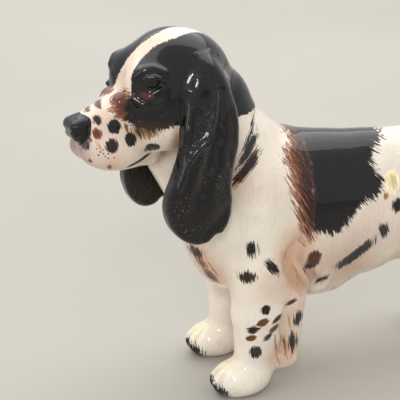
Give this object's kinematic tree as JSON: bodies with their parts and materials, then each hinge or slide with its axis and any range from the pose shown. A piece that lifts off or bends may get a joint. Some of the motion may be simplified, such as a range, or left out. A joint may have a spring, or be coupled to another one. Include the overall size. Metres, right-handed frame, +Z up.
{
  "type": "dog figurine",
  "caption": "Standing spaniel figurine in hollow glazed ceramic, head turned slightly to its left, long hanging ears, docked tail, flat soles.",
  "frame": {"origin": "on the standing plane, under the middle of the overall bounding box", "axes": "+Z up, the dog faces -X, its left side is -Y"},
  "size_m": [0.1672, 0.0486, 0.1292],
  "materials": {
    "body_glaze": "high gloss clear glaze over cream white with hand-painted black, rust brown and grey markings",
    "head_glaze": "high gloss clear glaze over black sides, a cream blaze and a speckled cream muzzle",
    "ear_glaze": "high gloss black glaze"
  },
  "bodies": {
    "root": {"torso": "body_glaze", "head": "head_glaze", "ear_left": "ear_glaze", "ear_right": "ear_glaze", "foreleg_left": "body_glaze", "foreleg_right": "body_glaze", "hindleg_left": "body_glaze", "hindleg_right": "body_glaze", "tail": "body_glaze"}
  },
  "joints": []
}
